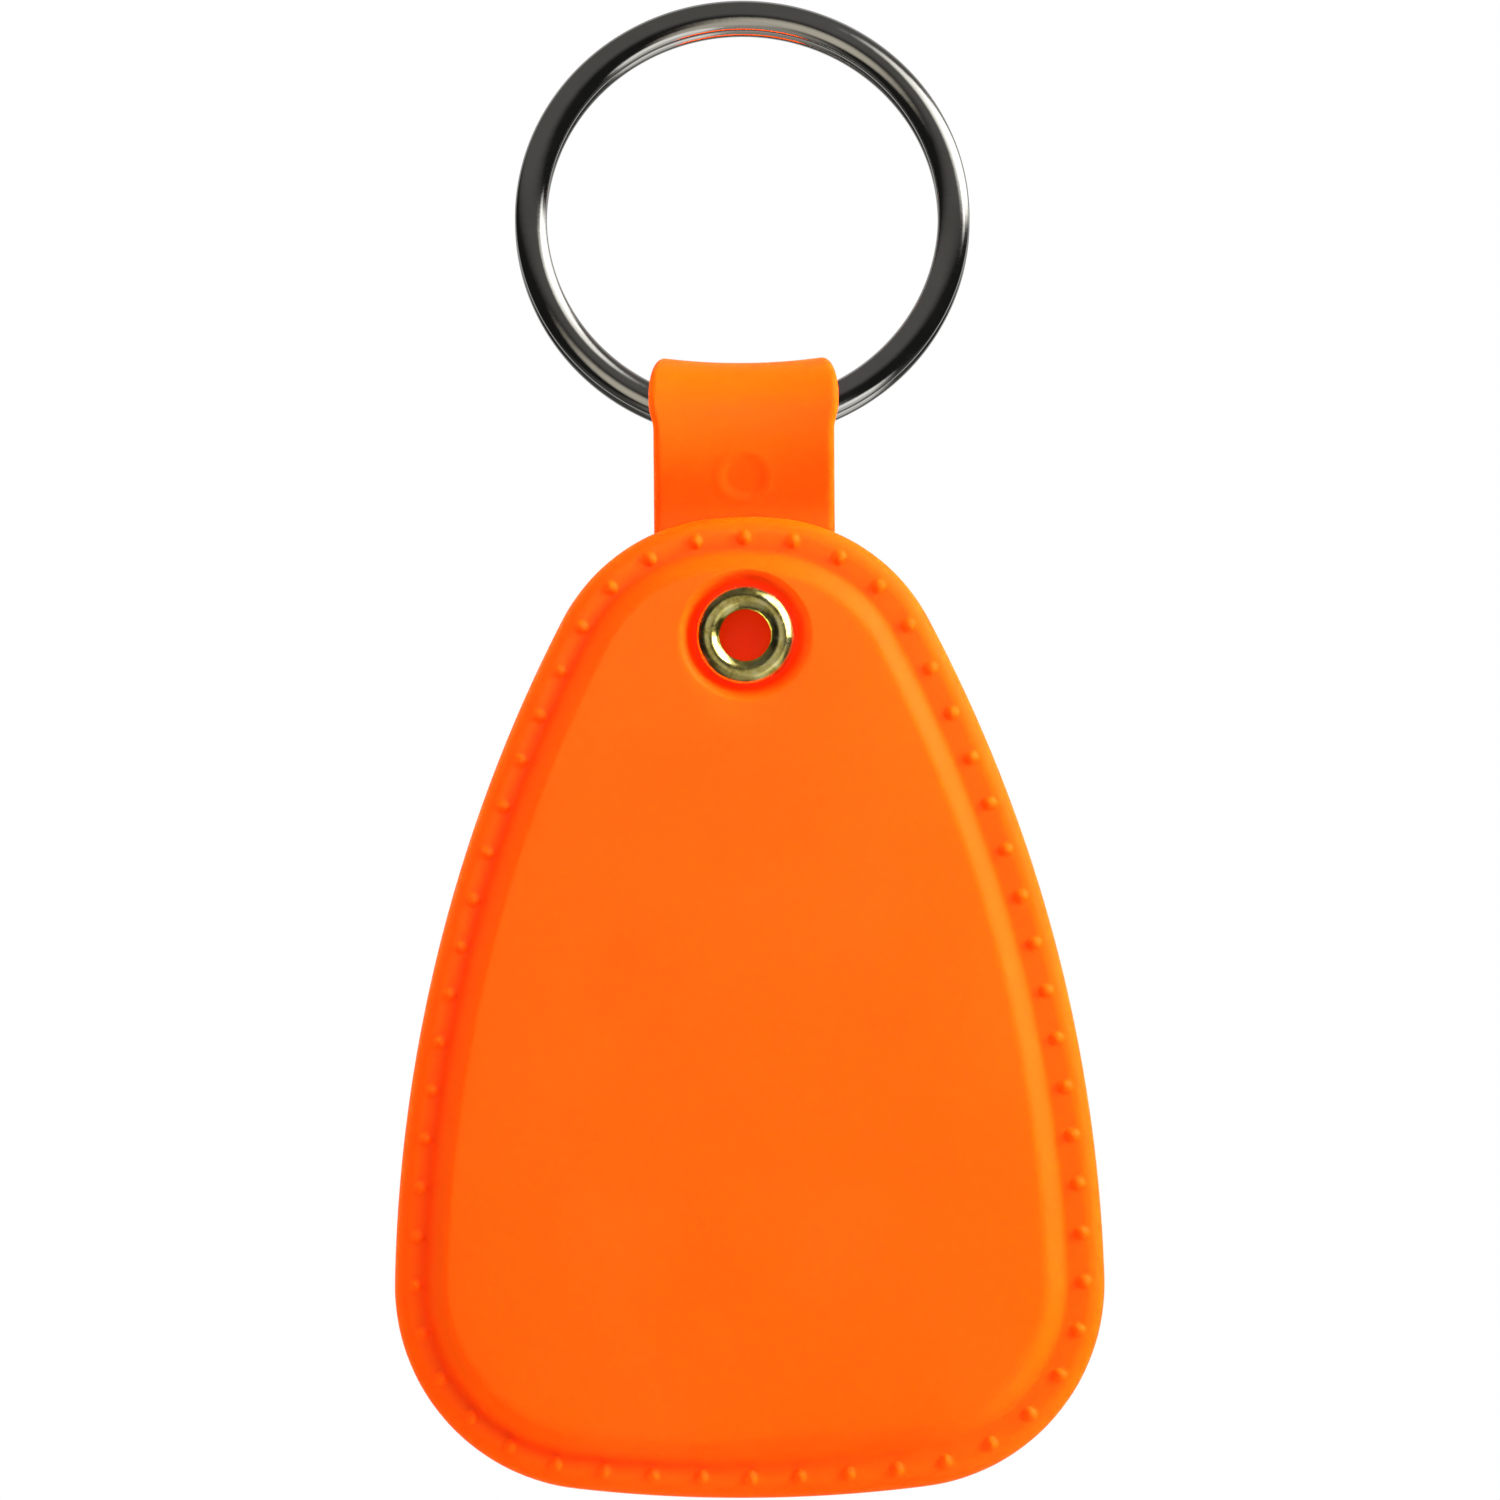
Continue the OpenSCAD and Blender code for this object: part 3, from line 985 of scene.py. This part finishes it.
def lights(metal, vinyl):
    """Soft lights all round. Only the last two show in reflections, each on its own pieces."""
    area_light("key", (0.9, -0.29, 0.32), 0.3, (0.09, 0.24), 2.95, glossy=False)
    area_light("back_fill", (-0.8, 0.5, 0.35), 0.3, (0.12, 0.24), 1.3, glossy=False)
    area_light("top", (0.12, -0.42, 0.9), 0.18, (0.24, 0.1), 0.32, glossy=False)
    area_light("left_fill", (-0.9, -0.3, 0.1), 0.35, (0.2, 0.3), 0.65, glossy=False)
    area_light("low_fill", (0.1, -0.16, -0.95), 0.3, (0.3, 0.15), 1.0, glossy=False)
    area_light("front_fill", (0.05, -1.0, 0.32), 0.15, (0.1, 0.1), 0.09, glossy=False)
    metal_key = area_light("metal_key", (0.72, -0.55, 0.42), 0.3, (0.2, 0.24), 1.6)
    light_only(metal_key, "metal_trim", metal)
    vinyl_sheen = area_light("vinyl_sheen", (0.9, -0.29, 0.32), 0.3, (0.09, 0.24), 0.27)
    light_only(vinyl_sheen, "soft_skin", vinyl)


class WorldNodes:
    """A short way to write what the studio looks like in each direction."""

    def __init__(self, tree):
        self.tree = tree
        self.where = self.node("ShaderNodeTexCoord").outputs["Generated"]
        split = self.node("ShaderNodeSeparateXYZ")
        self.link(self.where, split.inputs[0])
        self.y, self.z = split.outputs[1:]

    def node(self, kind):
        return self.tree.nodes.new(kind)

    def link(self, source, target):
        self.tree.links.new(source, target)

    def step(self, value, low, high):
        """A smooth step from 0 at low to 1 at high."""
        made = self.node("ShaderNodeMapRange")
        made.interpolation_type = "SMOOTHSTEP"
        made.inputs["From Min"].default_value = low
        made.inputs["From Max"].default_value = high
        self.link(value, made.inputs["Value"])
        return made.outputs["Result"]

    def blob(self, azimuth, elevation, radius, soft):
        """A soft-edged round patch of directions, in degrees."""
        azimuth, elevation = math.radians(azimuth), math.radians(elevation)
        flat = math.cos(elevation)
        middle = (flat * math.sin(azimuth), -flat * math.cos(azimuth), math.sin(elevation))
        dot = self.node("ShaderNodeVectorMath")
        dot.operation = "DOT_PRODUCT"
        self.link(self.where, dot.inputs[0])
        dot.inputs[1].default_value = middle
        near, far = math.radians(max(radius - soft, 0)), math.radians(radius + soft)
        return self.step(dot.outputs["Value"], math.cos(far), math.cos(near))

    def over(self, below, colour, amount):
        """A colour laid over what is below it, by an amount."""
        made = self.node("ShaderNodeMix")
        made.data_type = "RGBA"
        self.link(amount, made.inputs["Factor"])
        if isinstance(below, tuple):
            made.inputs["A"].default_value = (*below, 1)
        else:
            self.link(below, made.inputs["A"])
        made.inputs["B"].default_value = (*colour, 1)
        return made.outputs["Result"]


# the room that polished metal sees, and the softer one that lights dull surfaces
ROOM_DARK = (0.01, 0.01, 0.01)
ROOM_ABOVE = (0.085, 0.083, 0.08)
ROOM_BELOW = (0.05, 0.05, 0.047)
ROOM_BEHIND = (0.35, 0.35, 0.35)
SOFT_FRONT = (0.12, 0.12, 0.12)
SOFT_BEHIND = (0.6, 0.6, 0.6)

# bright patches in that room: azimuth, elevation, radius and softness in degrees, then colour
REFLECTIONS = [
    (0, -42, 24, 14, (0.27, 0.26, 0.23)),
    (-12, 5, 14, 8, (0.48, 0.45, 0.38)),
    (4, -13, 12, 8, (0.45, 0.42, 0.37)),
    (31, -32, 18, 5, (0.85, 0.85, 0.83)),
    (52, -50, 18, 6, (0.5, 0.5, 0.48)),
    (44, 47, 11, 7, (1.1, 1.1, 1.05)),
    (64, 39, 14, 6, (2.0, 2.0, 1.95)),
    (88, 33, 13, 6, (1.9, 1.9, 1.85)),
    (108, 23, 10, 5, (1.6, 1.6, 1.55)),
]


def world():
    """White for the camera, soft grey for diffuse light, and a dark room with bright patches for gloss."""
    made = bpy.data.worlds.new("studio")
    bpy.context.scene.world = made
    made.use_nodes = True
    made.node_tree.nodes.clear()
    w = WorldNodes(made.node_tree)
    room = w.over(ROOM_DARK, ROOM_ABOVE, w.step(w.z, 0.36, 0.62))
    room = w.over(room, ROOM_BELOW, w.step(w.z, -0.25, -0.55))
    for azimuth, elevation, radius, soft, colour in REFLECTIONS:
        room = w.over(room, colour, w.blob(azimuth, elevation, radius, soft))
    behind = w.step(w.y, 0.25, 0.5)
    room = w.over(room, ROOM_BEHIND, behind)
    path = w.node("ShaderNodeLightPath")
    soft_room = w.over(SOFT_FRONT, SOFT_BEHIND, behind)
    lit = w.node("ShaderNodeMix")
    lit.data_type = "RGBA"
    w.link(path.outputs["Is Diffuse Ray"], lit.inputs["Factor"])
    w.link(room, lit.inputs["A"])
    w.link(soft_room, lit.inputs["B"])
    seen = w.over(lit.outputs["Result"], (1, 1, 1), path.outputs["Is Camera Ray"])
    light = w.node("ShaderNodeBackground")
    w.link(seen, light.inputs["Color"])
    out = w.node("ShaderNodeOutputWorld")
    w.link(light.outputs["Background"], out.inputs["Surface"])


def camera():
    """A long lens, square on to the fob's front."""
    low, high = cad_box
    data = bpy.data.cameras.new("camera")
    data.lens = LENS
    data.sensor_width = SENSOR
    data.clip_start, data.clip_end = 0.1, 50
    cam = linked("camera", data)
    rim_y = (PIVOT[1] - GROOVE_H / 2) * MM
    distance = VIEW_W * MM / 2 / (SENSOR / 2 / LENS)
    across = (low.x + high.x) / 2 + VIEW_SHIFT[0] * MM
    up = (low.z + high.z) / 2 + VIEW_SHIFT[1] * MM
    cam.location = (across, rim_y - distance, up)
    cam.rotation_euler = (math.pi / 2, math.radians(VIEW_ROLL), 0)
    bpy.context.scene.camera = cam


def floor():
    """A plain pale floor below the hanging fob, out of the photograph's view."""
    low, _ = cad_box
    shape = bmesh.new()
    bmesh.ops.create_circle(shape, cap_ends=True, segments=96, radius=GROUND_R)
    mesh = bpy.data.meshes.new("floor")
    shape.to_mesh(mesh)
    shape.free()
    ground = linked("floor", mesh)
    ground.location = (0, 0, low.z - GROUND_GAP)
    s = Shader("floor_paint")
    colours = [(0.3, (0.24, 0.24, 0.24)), (0.7, (0.27, 0.27, 0.27))]
    s.link(s.ramp(s.noise(6.0, 2.0), colours), s.main.inputs["Base Color"])
    s.main.inputs["Emission Color"].default_value = (0.8, 0.8, 0.79, 1)
    s.set(Roughness=0.7, Emission_Strength=0.8)
    mesh.materials.append(s.material)
    ground.visible_glossy = False
    ground.visible_diffuse = False
    ground.visible_shadow = False


world()
camera()
floor()
bpy.context.scene.view_settings.view_transform = "Standard"

panel_colours = ((0.93, 0.083, 0.001), (0.95, 0.087, 0.001), (0.96, 0.091, 0.002))
panel_vinyl = vinyl_material("panel_vinyl_soft", *panel_colours)
strap_colours = ((0.93, 0.086, 0.001), (0.95, 0.09, 0.001), (0.96, 0.095, 0.002))
strap_vinyl = vinyl_material("strap_vinyl_soft", *strap_colours)
brass = brass_material()
steel = steel_material()
foam = foam_material()

columns = Columns()
vinyl_pieces = [
    front_panel(columns, panel_vinyl),
    back_panel(columns, panel_vinyl),
    hanger_strap(strap_vinyl),
]
rivet = eyelet(brass)
split_ring(steel)
carry_over("eyelet_washer", brass)
core_pad(columns, foam)
lights([rivet], vinyl_pieces)
